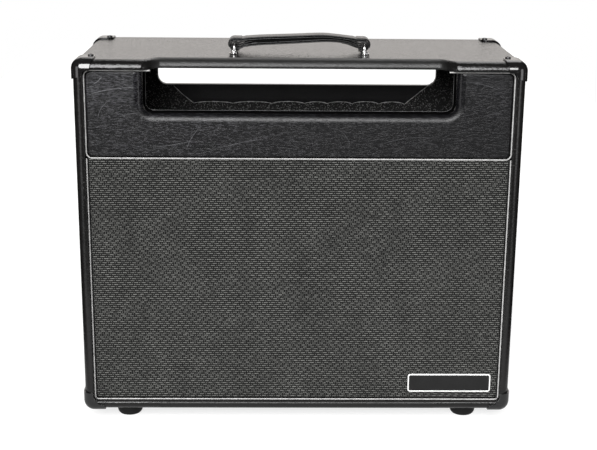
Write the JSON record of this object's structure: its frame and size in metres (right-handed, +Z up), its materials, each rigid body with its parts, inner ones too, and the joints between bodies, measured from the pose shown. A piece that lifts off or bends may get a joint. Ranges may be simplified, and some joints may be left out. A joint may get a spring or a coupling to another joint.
{
  "type": "guitar combo amplifier cabinet",
  "caption": "Vinyl-covered guitar combo cabinet with an open chassis bay behind a front window, piped grille, loudspeaker, plastic corners, rubber feet and a strap handle on chrome loops.",
  "frame": {"origin": "on the floor under the middle of the cabinet", "axes": "+X to the right seen from the front, +Y from the grille to the back, +Z up"},
  "size_m": [0.6248, 0.2628, 0.559],
  "materials": {
    "black_vinyl": "grained vinyl covering, satin",
    "panel_vinyl": "fine grained, creased vinyl, satin",
    "stained_plywood": "plywood and battens stained black",
    "painted_wood": "matt black paint",
    "silver_piping": "silver white braided piping",
    "grille_weave": "black and grey basket weave",
    "badge_black": "bare black plate with a pale border",
    "black_plastic": "moulded, semi gloss",
    "black_screw": "black screw head",
    "foot_rubber": "matt moulded rubber",
    "zinc_steel": "bright zinc",
    "handle_chrome": "polished chrome",
    "strap_vinyl": "layered strap, satin",
    "basket_paint": "pressed steel, black paint",
    "magnet_ferrite": "ferrite ring",
    "cone_paper": "pulp paper, matt",
    "treated_cloth": "treated cloth",
    "coil_copper": "enamelled copper on a former"
  },
  "bodies": {
    "root": {"badge_plate": "badge_black", "baffle_board": "painted_wood", "bottom_board": "stained_plywood", "chassis_rail_left": "stained_plywood", "chassis_rail_right": "stained_plywood", "corner_bottom_front_left": "black_plastic", "corner_bottom_front_right": "black_plastic", "corner_bottom_rear_left": "black_plastic", "corner_bottom_rear_right": "black_plastic", "corner_screw_bottom_front_left": "black_screw", "corner_screw_bottom_front_right": "black_screw", "corner_screw_bottom_rear_left": "black_screw", "corner_screw_bottom_rear_right": "black_screw", "corner_screw_top_front_left": "black_screw", "corner_screw_top_front_right": "black_screw", "corner_screw_top_rear_left": "black_screw", "corner_screw_top_rear_right": "black_screw", "corner_top_front_left": "black_plastic", "corner_top_front_right": "black_plastic", "corner_top_rear_left": "black_plastic", "corner_top_rear_right": "black_plastic", "foot_front_left": "foot_rubber", "foot_front_right": "foot_rubber", "foot_rear_left": "foot_rubber", "foot_rear_right": "foot_rubber", "foot_screw_front_left": "zinc_steel", "foot_screw_front_right": "zinc_steel", "foot_screw_rear_left": "zinc_steel", "foot_screw_rear_right": "zinc_steel", "front_cleat_left": "stained_plywood", "front_cleat_right": "stained_plywood", "front_panel": "panel_vinyl", "front_panel_piping": "silver_piping", "grille_cloth": "grille_weave", "grille_frame": "painted_wood", "grille_piping": "silver_piping", "handle_bracket_left": "handle_chrome", "handle_bracket_right": "handle_chrome", "handle_screw_front_left": "zinc_steel", "handle_screw_front_right": "zinc_steel", "handle_screw_rear_left": "zinc_steel", "handle_screw_rear_right": "zinc_steel", "left_side_board": "stained_plywood", "lower_back_panel": "panel_vinyl", "rear_cleat_left": "stained_plywood", "rear_cleat_right": "stained_plywood", "right_side_board": "stained_plywood", "speaker_frame": "basket_paint", "speaker_front_plate": "zinc_steel", "speaker_magnet": "magnet_ferrite", "speaker_spider": "treated_cloth", "speaker_surround": "cone_paper", "speaker_yoke": "zinc_steel", "top_board": "stained_plywood", "upper_back_panel": "panel_vinyl", "vinyl_covering": "black_vinyl"},
    "handle": {"handle_strap": "strap_vinyl"},
    "cone": {"speaker_cone": "cone_paper", "speaker_dust_cap": "cone_paper", "speaker_voice_coil": "coil_copper"}
  },
  "joints": [
    {"name": "handle_lift", "type": "slide", "parent": "root", "child": "handle", "axis": [0, 0, 1], "range_m": [0, 0.003]},
    {"name": "cone_travel", "type": "slide", "parent": "root", "child": "cone", "axis": [0, -1, 0], "range_m": [-0.004, 0.004], "stiffness_N_per_m": 5000}
  ]
}
